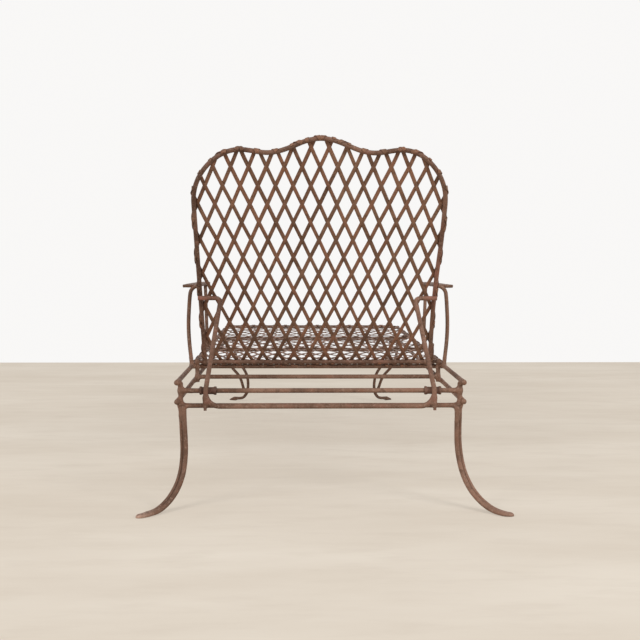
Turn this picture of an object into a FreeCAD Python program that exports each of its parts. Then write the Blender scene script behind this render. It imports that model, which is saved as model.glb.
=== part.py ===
import FreeCAD, Part
import math
import os

from FreeCAD import Placement, Rotation, Vector

# Iron garden chaise longue: a two-tier rod frame on curled legs, a strip-lattice
# seat, a hinged strip-lattice back and a folding bail that props the back up.
# Right-hand frame, millimetres, +Z up, sitter faces +Y, origin under the middle.

os.makedirs("parts", exist_ok=True)
doc = FreeCAD.newDocument("chaise_longue")

# Driving sizes; lengths along the chaise count from the back hinge
sizes = {
    "hinge_from_middle": -368,
    "hinge_height": 294.5,
    "rod_diameter": 11,
    "rail_spread": 652,
    "upper_rail_height": 287,
    "lower_rail_height": 243,
    "rail_rear_reach": 312,
    "seat_length": 1130,
    "front_corner_radius": 50,
    "lower_rail_front": 1098,
    "lower_front_setback": 14,
    "rear_bar_reach": 298,
    "rear_upper_bar_height": 266.5,
    "rear_lower_bar_height": 232,
    "hinge_bar_height": 255.5,
    "seat_rear_rail_height": 281.5,
    "seat_rear_rail_forward": 10,
    "seat_bar_one_forward": 447,
    "seat_bar_two_forward": 800,
    "hinge_eye_diameter": 17,
    "hinge_eye_width": 10,
    "hinge_pin_diameter": 8,
    "hinge_pin_length": 26,
    "running_clearance": 0.05,
    "leg_rod_diameter": 10.5,
    "corner_post_inset": 6.6,
    "rear_leg_bend": 115,
    "rear_leg_toe": 7,
    "foot_overhang": 21,
    "foot_length": 46,
    "foot_width": 18,
    "foot_thickness": 4,
    "front_leg_tuck_left": 0,
    "front_leg_tuck_right": 0.05,
    "arm_rod_diameter": 10,
    "arm_strap_length": 428,
    "arm_strap_width": 38,
    "arm_strap_thickness": 5.5,
    "arm_height": 492.5,
    "arm_spread": 668,
    "arm_middle_forward": 189,
    "arm_rear_forward": -25,
    "arm_front_forward": 365,
    "arm_fall": 1.2,
    "arm_flare": 0.8,
    "arm_rear_bow": 6.3,
    "arm_hook_lean": 8,
    "arm_hook_setback": 20,
    "arm_front_lean": 5,
    "strip_width": 9,
    "strip_thickness": 1.4,
    "strip_pitch_along": 94.7,
    "seat_strip_across": 41.1,
    "seat_strip_middle": 0,
    "seat_strip_start": 40,
    "back_strip_across": 40.55,
    "back_strip_middle": -2.3,
    "back_strip_start": 79,
    "recline": 29.6,
    "back_spread": 589,
    "stile_height": 440,
    "stile_foot": 12,
    "crest_height": 621.5,
    "bail_rod_diameter": 11,
    "bail_peg_diameter": 7,
    "bail_top_left": 243,
    "bail_top_right": 238,
    "bail_bottom_left": 260.5,
    "bail_bottom_right": 258,
    "bail_stub_left": 299.5,
    "bail_stub_right": 292.5,
    "bail_contact": 205.3,
    "bail_gap": 0.3,
    "bail_elbow_setback": 14,
    "bail_curl_radius": 33,
    "bail_curl_turn": 55,
    "bail_curl_tail": 7,
    "bail_peg_length": 9,
    "weld_bite": 0.8,
    "sleeve_diameter": 16.4,
    "sleeve_length": 38,
}

sheet = doc.addObject("Spreadsheet::Sheet", "Sizes")
for row, (alias, number) in enumerate(sizes.items(), start=1):
    sheet.set("A%d" % row, alias)
    sheet.set("B%d" % row, str(number))
    sheet.setAlias("B%d" % row, alias)
doc.recompute()


def size(alias):
    return float(sheet.get(alias))


HINGE = Vector(0, size("hinge_from_middle"), 0)
AXES = {"x": Vector(1, 0, 0), "y": Vector(0, 1, 0), "z": Vector(0, 0, 1)}
SIDES = (("left", -1), ("right", 1))
rod_radius = size("rod_diameter") / 2
rail_x = size("rail_spread") / 2
nodes = []


def node(item, label):
    """Give an object its own name and count it as a piece of the chaise."""
    item.Label = label
    nodes.append(item)
    return item


def rod(name, start, axis, length, diameter="rod_diameter"):
    """Straight round bar from a point, its length and diameter bound to the sheet."""
    bar = doc.addObject("Part::Cylinder", name)
    bar.setExpression("Radius", "Sizes.%s / 2" % diameter)
    bar.setExpression("Height", length)
    bar.Placement = Placement(HINGE + Vector(*start), Rotation(AXES["z"], AXES[axis]))
    return bar


def bent_rod(name, edges, diameter="rod_diameter"):
    """Round bar swept along joined curves, its diameter bound to the sheet."""
    spine = doc.addObject("Part::Feature", name + "_line")
    spine.Shape = Part.Wire(edges)
    first = spine.Shape.OrderedEdges[0]
    begin = first.valueAt(first.FirstParameter)
    heading = first.tangentAt(first.FirstParameter)
    ring = doc.addObject("Part::Circle", name + "_ring")
    ring.setExpression("Radius", "Sizes.%s / 2" % diameter)
    ring.Placement = Placement(begin, Rotation(AXES["z"], heading))
    sweep = doc.addObject("Part::Sweep", name)
    sweep.Sections = [ring]
    sweep.Spine = (spine, ["Edge%d" % (i + 1) for i in range(len(edges))])
    sweep.Solid = True
    sweep.Frenet = False
    sweep.Placement = Placement(HINGE, Rotation())
    return sweep


def coped(name, bar, *against):
    """Bar whose ends are shaped to the bars it is welded to."""
    for i, other in enumerate(against):
        cut = doc.addObject("Part::Cut", "%s_cope_%d" % (name, i))
        cut.Base = bar
        cut.Tool = other
        bar = cut
    return bar


def joined(name, *pieces):
    """One forged piece made of several simple forms."""
    whole = doc.addObject("Part::MultiFuse", name)
    whole.Shapes = list(pieces)
    whole.Refine = True
    return whole


def line(a, b):
    return Part.LineSegment(Vector(*a), Vector(*b)).toShape()


def arc(a, b, c):
    return Part.Arc(Vector(*a), Vector(*b), Vector(*c)).toShape()


def rounded(corner_at, one_way, other_way, setback):
    """Tangent arc round a corner, with the points where it starts and ends."""
    half = one_way.getAngle(other_way) / 2
    bisector = one_way + other_way
    bisector.normalize()
    middle = corner_at + bisector * (setback / math.cos(half) - setback * math.tan(half))
    start = corner_at + one_way * setback
    end = corner_at + other_way * setback
    return start, arc(start, middle, end), end


def smooth(points, tangents=None):
    curve = Part.BSplineCurve()
    if tangents:
        curve.interpolate(Points=[Vector(*p) for p in points],
                          InitialTangent=Vector(*tangents[0]), FinalTangent=Vector(*tangents[1]))
    else:
        curve.interpolate([Vector(*p) for p in points])
    return curve.toShape()


def flat_bar(name, kind, centre, rotation):
    """Flat bar with round ends, lying in its own plane, top face at the given centre."""
    body = doc.addObject("Part::Box", name + "_body")
    body.setExpression("Length", "Sizes.%s_length - Sizes.%s_width" % (kind, kind))
    body.setExpression("Width", "Sizes.%s_width" % kind)
    body.setExpression("Height", "Sizes.%s_thickness" % kind)
    half = (size(kind + "_length") - size(kind + "_width")) / 2
    drop = -size(kind + "_thickness")
    body.Placement = Placement(Vector(-half, -size(kind + "_width") / 2, drop), Rotation())
    ends = []
    for tag, x in (("tail", -half), ("tip", half)):
        end = doc.addObject("Part::Cylinder", "%s_%s" % (name, tag))
        end.setExpression("Radius", "Sizes.%s_width / 2" % kind)
        end.setExpression("Height", "Sizes.%s_thickness" % kind)
        end.Placement = Placement(Vector(x, 0, drop), Rotation())
        ends.append(end)
    whole = joined(name, body, *ends)
    whole.Placement = Placement(HINGE + Vector(*centre), rotation)
    return whole


# Side rails: the upper pair carries the seat, the lower pair stiffens the legs
side_rails = {}
for tier in ("upper", "lower"):
    height = size(tier + "_rail_height")
    if tier == "upper":
        reach = "Sizes.seat_length - Sizes.front_corner_radius"
    else:
        reach = "Sizes.lower_rail_front"
    for side, sign in SIDES:
        name = "%s_side_rail_%s" % (tier, side)
        start = (sign * rail_x, -size("rail_rear_reach"), height)
        bar = rod(name + "_bar", start, "y", reach + " + Sizes.rail_rear_reach")
        knob = doc.addObject("Part::Sphere", name + "_round_end")
        knob.setExpression("Radius", "Sizes.rod_diameter / 2")
        knob.Placement = Placement(HINGE + Vector(*start), Rotation())
        side_rails[tier, side] = node(joined(name, bar, knob), name)

# Front of the seat: one bar bent round both front corners
corner = size("front_corner_radius")
seat_front = size("seat_length")
top = size("upper_rail_height")
inner = rail_x - corner
turn = corner * math.sin(math.pi / 4)
upper_front_rail = node(bent_rod("upper_front_rail", [
    arc((-rail_x, seat_front - corner, top),
        (-inner - turn, seat_front - corner + turn, top),
        (-inner, seat_front, top)),
    line((-inner, seat_front, top), (inner, seat_front, top)),
    arc((inner, seat_front, top),
        (inner + turn, seat_front - corner + turn, top),
        (rail_x, seat_front - corner, top)),
]), "upper_front_rail")

# Crossbars between the lower rails and under the seat
low = size("lower_rail_height")
front_y = size("lower_rail_front") - size("lower_front_setback")
front_bar = rod("lower_front_rail_bar", (-rail_x, front_y, low), "x", "Sizes.rail_spread")
node(coped("lower_front_rail", front_bar, side_rails["lower", "left"], side_rails["lower", "right"]),
     "lower_front_rail")
for number in ("one", "two"):
    name = "seat_crossbar_" + number
    start = (-rail_x, size("seat_bar_%s_forward" % number), top - size("rod_diameter"))
    node(rod(name, start, "x", "Sizes.rail_spread"), name)

# Hinge posts: short uprights with an eye for the back's pin, and the bars welded to them
post_x = rail_x - size("rod_diameter")
eye_z = size("hinge_height")
posts = []
for side, sign in SIDES:
    name = "hinge_post_" + side
    foot = low - size("weld_bite")
    post = rod(name + "_bar", (sign * post_x, 0, foot), "z",
               "Sizes.hinge_height - Sizes.lower_rail_height + Sizes.weld_bite")
    eye_width = size("hinge_eye_width")
    eye = rod(name + "_eye", (sign * post_x - eye_width / 2, 0, eye_z), "x", "Sizes.hinge_eye_width",
              "hinge_eye_diameter")
    bore = rod(name + "_bore", (sign * post_x - eye_width, 0, eye_z), "x", "2 * Sizes.hinge_eye_width")
    bore.setExpression("Radius", "Sizes.hinge_pin_diameter / 2 + Sizes.running_clearance")
    posts.append(node(coped(name, joined(name + "_forging", post, eye), bore), name))
hinge_bar = rod("hinge_crossbar_bar", (-post_x, 0, size("hinge_bar_height")), "x",
                "Sizes.rail_spread - 2 * Sizes.rod_diameter")
node(coped("hinge_crossbar", hinge_bar, *posts), "hinge_crossbar")
rear_rail = rod("seat_rear_rail_bar",
                (-rail_x, size("seat_rear_rail_forward"), size("seat_rear_rail_height")),
                "x", "Sizes.rail_spread")
node(coped("seat_rear_rail", rear_rail, side_rails["upper", "left"], side_rails["upper", "right"], *posts),
     "seat_rear_rail")

# Rear legs: paired rods curling to a spoon foot, the outer rod running up as the corner post
leg_radius = size("leg_rod_diameter") / 2
bend = size("rear_leg_bend")
toe = size("rear_leg_toe")
toe_z = size("foot_thickness") + leg_radius
slant = math.sqrt(0.5)
rear_y = -size("rear_bar_reach")
corner_x = rail_x - size("corner_post_inset")
corner_posts = []
inner_rods = []


def rear_leg_line(sign, x, y, start_z):
    """Straight drop, quarter bend outward and rearward, then a short level toe."""
    def along(run, z):
        return (sign * (x + slant * run), y - slant * run, z)
    middle = bend * (1 - slant)
    return [line(along(0, start_z), along(0, toe_z + bend)),
            arc(along(0, toe_z + bend), along(middle, toe_z + bend - bend * slant), along(bend, toe_z)),
            line(along(bend, toe_z), along(bend + toe, toe_z))]


for side, sign in SIDES:
    name = "rear_leg_outer_rod_" + side
    post = bent_rod(name + "_bar", rear_leg_line(sign, corner_x, rear_y, top), "leg_rod_diameter")
    corner_posts.append(node(coped(name, post, side_rails["upper", side], side_rails["lower", side]), name))
    step = slant * size("leg_rod_diameter")
    name = "rear_leg_inner_rod_" + side
    path = rear_leg_line(sign, corner_x - step, rear_y - step, size("rear_lower_bar_height"))
    inner_rods.append((name, bent_rod(name + "_bar", path, "leg_rod_diameter")))
    run = bend + toe - size("foot_length") / 2 + size("foot_overhang")
    name = "rear_foot_" + side
    centre = (sign * (corner_x - step / 2 + slant * run), rear_y - step / 2 - slant * run,
              size("foot_thickness"))
    node(flat_bar(name, "foot", centre, Rotation(AXES["z"], sign * -45)), name)

# Rear crossbars between the corner posts
rear_bars = {}
for tier in ("upper", "lower"):
    name = "rear_%s_crossbar" % tier
    bar = rod(name + "_bar", (-corner_x, rear_y, size("rear_%s_bar_height" % tier)), "x",
              "Sizes.rail_spread - 2 * Sizes.corner_post_inset")
    rear_bars[tier] = node(coped(name, bar, *corner_posts), name)
for name, bar in inner_rods:
    node(coped(name, bar, rear_bars["lower"]), name)

# Front legs: two rods sweeping in from the lower rail to a slim ankle, then out to the toe
start_z = low - rod_radius
inner_shape = [(300, 0, start_z), (297, 0, 200), (282, 0, 158), (262, 0, 128), (250.5, 0, 104),
               (246.5, 3, 80), (247.5, 7, 52), (254, 13, 30), (267, 22, 15), (286, 33, toe_z + 0.9),
               (302, 42.4, toe_z)]
outer_shape = [(rail_x, 0, start_z), (326, 0, 198), (317, 0, 154), (301, 0, 127), (283, 0, 106), (272, 3, 83),
               (266, 7, 60), (259.8, 11, 40)]
toe_line = Vector(*inner_shape[-1]) - Vector(*inner_shape[-2])
toe_turn = math.degrees(math.atan2(toe_line.y, toe_line.x))
toe_line.normalize()
foot_at = Vector(*inner_shape[-1]) + toe_line * (size("foot_overhang") - size("foot_length") / 2)
for side, sign in SIDES:
    tuck = size("front_leg_tuck_" + side)
    for place, shape in (("inner", inner_shape), ("outer", outer_shape)):
        name = "front_leg_%s_rod_%s" % (place, side)
        path = smooth([(sign * (out - tuck * (start_z - up)), front_y + forward, up)
                       for out, forward, up in shape])
        node(bent_rod(name, [path], "leg_rod_diameter"), name)
    name = "front_foot_" + side
    turn_out = toe_turn if sign > 0 else 180 - toe_turn
    foot_x = foot_at.x - tuck * (start_z - toe_z)
    node(flat_bar(name, "foot", (sign * foot_x, front_y + foot_at.y, size("foot_thickness")),
                  Rotation(AXES["z"], turn_out)), name)

# Arms: a flat strap butted on a bowed rear upright that bends inward over its end, and a front upright
UPRIGHT_STEPS = 5
fall = math.tan(math.radians(size("arm_fall")))
strap_tilt = Rotation(AXES["x"], -size("arm_fall"))
base = top + rod_radius
shares = [k / UPRIGHT_STEPS for k in range(UPRIGHT_STEPS + 1)]


def strap_core(forward):
    """Height of the middle of the strap's thickness at a place along the chaise."""
    ahead = forward - size("arm_middle_forward")
    return size("arm_height") - size("arm_strap_thickness") / 2 - ahead * fall


rear_forward = size("arm_rear_forward")
bow = size("arm_rear_bow")
hook_lean = math.radians(size("arm_hook_lean"))
hook_z = strap_core(rear_forward)
hook_out = size("arm_hook_setback") * math.sin(hook_lean)
rear_rise = hook_z - size("arm_hook_setback") * math.cos(hook_lean) - base
rear_shape = [(rail_x + bow * math.sin(math.pi * t) + hook_out * t, rear_forward, base + rear_rise * t)
              for t in shares]
front_forward = size("arm_front_forward")
front_top_x = rail_x + size("arm_front_lean")
for side, sign in SIDES:
    name = "arm_rear_upright_" + side
    down_way = Vector(sign * math.sin(hook_lean), 0, -math.cos(hook_lean))
    set_out = Vector(sign * (math.pi * bow + hook_out), 0, rear_rise)
    bowed = smooth([(sign * out, forward, up) for out, forward, up in rear_shape], (set_out, -down_way))
    hook = rounded(Vector(sign * rail_x, rear_forward, hook_z), down_way, AXES["x"] * -sign,
                   size("arm_hook_setback"))[1]
    upright = node(bent_rod(name, [bowed, hook], "arm_rod_diameter"), name)
    name = "arm_strap_" + side
    turned = Rotation(AXES["z"], 90 - sign * size("arm_flare"))
    middle = (sign * size("arm_spread") / 2, size("arm_middle_forward"), size("arm_height"))
    bar = flat_bar(name + "_bar", "arm_strap", middle, strap_tilt.multiply(turned))
    strap = node(coped(name, bar, upright), name)
    name = "arm_front_upright_" + side
    path = line((sign * rail_x, front_forward, base),
                (sign * front_top_x, front_forward, strap_core(front_forward)))
    node(coped(name, bent_rod(name + "_bar", [path], "arm_rod_diameter"), strap), name)


def strip_layer(name, region, layer, direction, panel):
    """One layer of parallel slanting strips, trimmed to the space inside the rim."""
    box = region.BoundBox
    across = size(panel + "_strip_across")
    along = size("strip_pitch_along")
    middle = size(panel + "_strip_middle")
    first_along = size(panel + "_strip_start")
    thick = size("strip_thickness")
    width = size("strip_width")
    angle = math.degrees(math.atan2(along, across)) * direction
    reach = box.XLength + box.YLength
    climb = box.XMax * along / across
    window = region.extrude(Vector(0, 0, thick))
    lowest = math.ceil((box.YMin - climb - first_along) / along)
    highest = math.floor((box.YMax + climb - first_along) / along)
    strips = []
    for k in range(lowest, highest + 1):
        strip = Part.makeBox(2 * reach, width, thick, Vector(-reach, -width / 2, 0))
        strip.Placement = Placement(Vector(middle, first_along + k * along, 0), Rotation(AXES["z"], angle))
        strips += [s for s in strip.common(window).Solids if s.Volume > width * width * thick]
    item = doc.addObject("Part::Feature", name)
    item.Shape = Part.makeCompound([s.translated(Vector(0, 0, layer)) for s in strips])
    return item


# Seat lattice: two layers of strips filling the space inside the seat rails
seat_x = rail_x - rod_radius
seat_y = seat_front - rod_radius
strip_drop = top - size("strip_thickness") - size("seat_rear_rail_height")
seat_back = size("seat_rear_rail_forward") + math.sqrt(rod_radius ** 2 - strip_drop ** 2)
inside = corner - rod_radius
turn = inside * math.sin(math.pi / 4)
flat = seat_x - inside
seat_region = Part.Face(Part.Wire([
    line((-seat_x, seat_back, 0), (seat_x, seat_back, 0)),
    line((seat_x, seat_back, 0), (seat_x, seat_y - inside, 0)),
    arc((seat_x, seat_y - inside, 0), (flat + turn, seat_y - inside + turn, 0), (flat, seat_y, 0)),
    line((flat, seat_y, 0), (-flat, seat_y, 0)),
    arc((-flat, seat_y, 0), (-flat - turn, seat_y - inside + turn, 0), (-seat_x, seat_y - inside, 0)),
    line((-seat_x, seat_y - inside, 0), (-seat_x, seat_back, 0)),
]))
for tag, layer, direction in (("rising", 0, 1), ("falling", -size("strip_thickness"), -1)):
    name = "seat_strips_" + tag
    strips = node(strip_layer(name, seat_region, layer, direction, "seat"), name)
    strips.Placement = Placement(HINGE + Vector(0, 0, top), Rotation())

# Back panel: a rim bent into two shoulders and a low crest, drawn flat and then leaned back.
# The right stile has been pushed in a little by use.
CREST_TOLERANCE = 0.3
lean = Placement(HINGE + Vector(0, 0, eye_z), Rotation(AXES["x"], 90 + size("recline")))
stile_x = size("back_spread") / 2
stile_top = size("stile_height")
stile_foot = size("stile_foot")
left_half = [(-stile_x, stile_top), (-293.3, 478), (-283.5, 515), (-263, 549), (-229, 580), (-187, 594.3),
             (-148, 589.8), (-114, 587.2), (-76, 597.5), (-37, 614), (0, size("crest_height"))]
right_half = [(37, 614), (76, 597.5), (114, 587.2), (148, 589.8), (187, 594.3), (229, 580), (261.5, 549),
              (281, 515), (290.5, 478), (291.8, 440), (291, 350), (288.3, 275), (287.6, 205), (288, 135),
              (289.6, 85), (292.6, 40), (stile_x, stile_foot)]
crest_edge = smooth([(x, y, 0) for x, y in left_half + right_half], ((0, 1, 0), (0, -1, 0)))
crest_bends = [bend_arc.toShape() for bend_arc in crest_edge.Curve.toBiArcs(CREST_TOLERANCE)]
low_end = -rod_radius
rim = bent_rod("back_rim", [line((-stile_x, low_end, 0), (-stile_x, stile_top, 0)), *crest_bends,
                            line((stile_x, stile_foot, 0), (stile_x, low_end, 0))])
rim.Placement = lean
node(rim, "back_rim")
bottom_rail = rod("back_bottom_rail_bar", (-stile_x, 0, eye_z), "x", "Sizes.back_spread")
node(coped("back_bottom_rail", bottom_rail, rim), "back_bottom_rail")
for side, sign in SIDES:
    name = "hinge_pin_" + side
    begin = min(sign * stile_x, sign * (stile_x + size("hinge_pin_length")))
    pin = rod(name + "_bar", (begin, 0, eye_z), "x", "Sizes.hinge_pin_length", "hinge_pin_diameter")
    node(coped(name, pin, rim), name)

# Back lattice: two layers of strips inside the rim
CREST_STEPS = 90
crest_run = crest_edge.LastParameter - crest_edge.FirstParameter
opening = [Vector(rod_radius - stile_x, rod_radius, 0)]
for k in range(CREST_STEPS + 1):
    place = crest_edge.FirstParameter + crest_run * k / CREST_STEPS
    way = crest_edge.tangentAt(place)
    opening.append(crest_edge.valueAt(place) + Vector(way.y, -way.x, 0) * rod_radius)
opening.append(Vector(stile_x - rod_radius, rod_radius, 0))
back_region = Part.Face(Part.makePolygon(opening + opening[:1]))
for tag, layer, direction in (("rising", 0, 1), ("falling", -size("strip_thickness"), -1)):
    name = "back_strips_" + tag
    strips = node(strip_layer(name, back_region, layer, direction, "back"), name)
    strips.Placement = lean

# Bail: two struts with outturned tops, turning on the rear upper crossbar by sleeves
bail_radius = size("bail_rod_diameter") / 2
pivot_y = rear_y
pivot_z = size("rear_upper_bar_height")
wrap = size("sleeve_diameter") / 2 + bail_radius
recline = math.radians(size("recline"))
off = rod_radius + bail_radius + size("bail_gap")
stub_y = -size("bail_contact") * math.sin(recline) - off * math.cos(recline)
stub_z = eye_z + size("bail_contact") * math.cos(recline) - off * math.sin(recline)
span = math.hypot(stub_y - pivot_y, stub_z - pivot_z)
rake = math.atan2(stub_z - pivot_z, stub_y - pivot_y) - math.asin(wrap / span)
knee_y = pivot_y - wrap * math.sin(rake)
knee_z = pivot_z + wrap * math.cos(rake)
lower_z = size("rear_lower_bar_height")
struts = []
for side, sign in SIDES:
    name = "bail_strut_" + side
    low_x = size("bail_bottom_" + side)
    knee = Vector(sign * low_x, knee_y, knee_z)
    shoulder_at = Vector(sign * size("bail_top_" + side), stub_y, stub_z)
    down = knee - shoulder_at
    down.normalize()
    toward_bar = Vector(0, math.sin(rake), -math.cos(rake))
    start, elbow, end = rounded(shoulder_at, Vector(sign, 0, 0), down, size("bail_elbow_setback"))
    hug = [knee + toward_bar * (wrap - wrap * math.cos(t)) + down * (wrap * math.sin(t))
           for t in (math.pi / 4 - rake / 2, math.pi / 2 - rake)]
    heading = down * math.sin(rake) + toward_bar * math.cos(rake)
    foot = hug[1] + heading * (pivot_z - lower_z)
    path = [line((sign * size("bail_stub_" + side), stub_y, stub_z), start), elbow, line(end, knee),
            arc(knee, hug[0], hug[1]), line(hug[1], foot)]
    strut = bent_rod(name + "_bar", path, "bail_rod_diameter")
    peg = rod(name + "_peg", (foot.x, foot.y, foot.z - size("bail_peg_length")), "z",
              "Sizes.bail_peg_length + Sizes.weld_bite", "bail_peg_diameter")
    sleeve_name = "pivot_sleeve_" + side
    begin = sign * low_x - size("sleeve_length") / 2
    tube = rod(sleeve_name + "_tube", (begin, pivot_y, pivot_z), "x", "Sizes.sleeve_length",
               "sleeve_diameter")
    bore = rod(sleeve_name + "_bore", (begin - bail_radius, pivot_y, pivot_z), "x",
               "Sizes.sleeve_length + Sizes.bail_rod_diameter")
    bore.setExpression("Radius", "Sizes.rod_diameter / 2 + Sizes.running_clearance")
    sleeve = node(coped(sleeve_name, tube, bore), sleeve_name)
    struts.append(node(coped(name, joined(name + "_forging", strut, peg), sleeve), name))

# Bottom bar of the bail: its ends sweep up into the struts, its middle bears on the lower crossbar
bar_y = pivot_y - rod_radius - bail_radius - size("bail_gap")
curl = size("bail_curl_radius")
curl_turn = math.radians(size("bail_curl_turn"))
tail = size("bail_curl_tail")


def curl_place(side, sign, turned, onward=0):
    """Place on an upturned end, by the angle turned and the straight run after it."""
    flat_x = size("bail_bottom_" + side) - curl * math.sin(curl_turn) - tail * math.cos(curl_turn)
    out = curl * math.sin(turned) + onward * math.cos(turned)
    up = curl * (1 - math.cos(turned)) + onward * math.sin(turned)
    return (sign * (flat_x + out), bar_y, lower_z + up)


left_tip, right_tip = [curl_place(side, sign, curl_turn, tail) for side, sign in SIDES]
left_top, right_top = [curl_place(side, sign, curl_turn) for side, sign in SIDES]
left_middle, right_middle = [curl_place(side, sign, curl_turn / 2) for side, sign in SIDES]
left_flat, right_flat = [curl_place(side, sign, 0) for side, sign in SIDES]
bottom_path = [line(left_tip, left_top), arc(left_top, left_middle, left_flat), line(left_flat, right_flat),
               arc(right_flat, right_middle, right_top), line(right_top, right_tip)]
bottom_bar = bent_rod("bail_bottom_bar_rod", bottom_path, "bail_rod_diameter")
node(coped("bail_bottom_bar", bottom_bar, *struts), "bail_bottom_bar")

doc.recompute()

# Every piece must be sound before it is written out
bounds = FreeCAD.BoundBox()
for item in doc.Objects:
    if "Invalid" in item.State or "Error" in item.State:
        raise RuntimeError("%s does not build" % item.Label)
for item in nodes:
    if item.Shape.isNull() or not item.Shape.isValid():
        raise RuntimeError("%s is not a sound solid" % item.Label)
    item.Shape.exportStep("parts/%s.step" % item.Label)
    bounds.add(item.Shape.BoundBox)
    print("%-28s solids %3d volume %9.0f" % (item.Label, len(item.Shape.Solids), item.Shape.Volume))
print("pieces %d, box %s" % (len(nodes), bounds))
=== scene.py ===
import math
import random
from collections import namedtuple

import bpy
import numpy as np
from mathutils import Matrix, Vector, noise


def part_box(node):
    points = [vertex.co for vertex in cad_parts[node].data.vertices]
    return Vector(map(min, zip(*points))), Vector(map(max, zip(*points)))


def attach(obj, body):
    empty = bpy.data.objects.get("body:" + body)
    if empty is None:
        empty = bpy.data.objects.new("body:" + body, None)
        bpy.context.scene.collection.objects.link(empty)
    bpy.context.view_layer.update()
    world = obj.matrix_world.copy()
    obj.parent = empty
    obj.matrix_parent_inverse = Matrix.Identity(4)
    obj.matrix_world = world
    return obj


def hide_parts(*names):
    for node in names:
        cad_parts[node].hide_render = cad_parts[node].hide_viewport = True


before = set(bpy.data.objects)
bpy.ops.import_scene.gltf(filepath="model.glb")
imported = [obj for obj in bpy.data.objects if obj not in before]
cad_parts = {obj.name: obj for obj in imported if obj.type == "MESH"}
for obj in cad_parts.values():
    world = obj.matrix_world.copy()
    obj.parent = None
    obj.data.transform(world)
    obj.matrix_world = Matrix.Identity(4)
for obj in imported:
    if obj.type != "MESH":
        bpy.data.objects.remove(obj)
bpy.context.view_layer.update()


# Rod frame: rails, crossbars, posts, legs and arm uprights of round bar iron,
# bent cold, welded, and left outdoors until the finish went a mottled brown.
class Signal:
    """A shader socket that takes part in plain sums."""

    def __init__(self, tree, socket=None):
        self.tree = tree
        self.socket = socket

    def node(self, kind, settings, sockets, output=0):
        """Any node: its settings first, then values or links for its sockets."""
        made = self.tree.nodes.new("ShaderNode" + kind)
        for name, value in settings.items():
            setattr(made, name, value)
        for name, value in sockets.items():
            if isinstance(value, Signal):
                self.tree.links.new(value.socket, made.inputs[name])
            else:
                made.inputs[name].default_value = value
        return Signal(self.tree, made.outputs[output] if made.outputs else None)

    def maths(self, operation, first, second):
        return self.node("Math", {"operation": operation}, {0: first, 1: second})

    def __add__(self, other):
        return self.maths("ADD", self, other)

    def __sub__(self, other):
        return self.maths("SUBTRACT", self, other)

    def __rsub__(self, other):
        return self.maths("SUBTRACT", other, self)

    def __mul__(self, other):
        return self.maths("MULTIPLY", self, other)

    __radd__ = __add__
    __rmul__ = __mul__


def ramp(signal, low, high):
    """0 up to low, 1 from high on, and straight between."""
    return signal.node("MapRange", {}, {"Value": signal, "From Min": low, "From Max": high})


def mottle(place, scale, detail, roughness):
    """Cloudy mottling over a surface, between 0 and 1."""
    return place.node("TexNoise", {}, {"Vector": place, "Scale": scale, "Detail": detail,
                                       "Roughness": roughness})


def tinted(mask, under, over):
    """One colour laid over another where the mask is 1."""
    return mask.node("Mix", {"data_type": "RGBA"}, {0: mask, 6: under, 7: over}, 2)


def split(place, axes):
    """The named coordinates of a place, one by one."""
    return [place.node("SeparateXYZ", {}, {"Vector": place}, axis) for axis in axes]


# Scale, detail and roughness of each mottling.
PATCHES = (11.0, 3.0, 0.55)
BLOTCHES = (46.0, 5.0, 0.62)
FLECKS = (170.0, 4.0, 0.6)
GRAIN = (620.0, 3.0, 0.6)
# The patches are lighter to the right, and darker forward as painted shade for the parts under the seat and
# back.
LIGHTER_RIGHTWARD = 0.24
PAINTED_SHADE_FORWARD = 0.28
PATCH_LEVEL = 0.153
# The levels of mottling between which each mark sets in, and the strength of two of them.
SHADED = (0.34, 0.66)
SPOTTED = (0.36, 0.47)
SPOT_SHARE = 0.75
RUSTED = (0.50, 0.68)
WEAR_AND_HIGHLIGHT = (0.30, 0.55)
RUBBED = (0.54, 0.70)
PITTED = (0.60, 0.74)
PIT_GROUPS = (0.40, 0.60)
PIT_SHARE = 0.6
# What the marks do to the gloss, and how far they stand up or sink in.
BLOTCHES_ROUGHEN = 0.22
PITS_ROUGHEN = 0.12
RUBBING_POLISHES = 0.14
FLECKS_RISE = 0.9
GRAIN_RISES = 0.35
PITS_SINK = 0.5
BUMP_STRENGTH = 0.35
BUMP_DEPTH = 0.0008
METALLIC = 0.1
SPECULAR = 0.22


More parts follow.
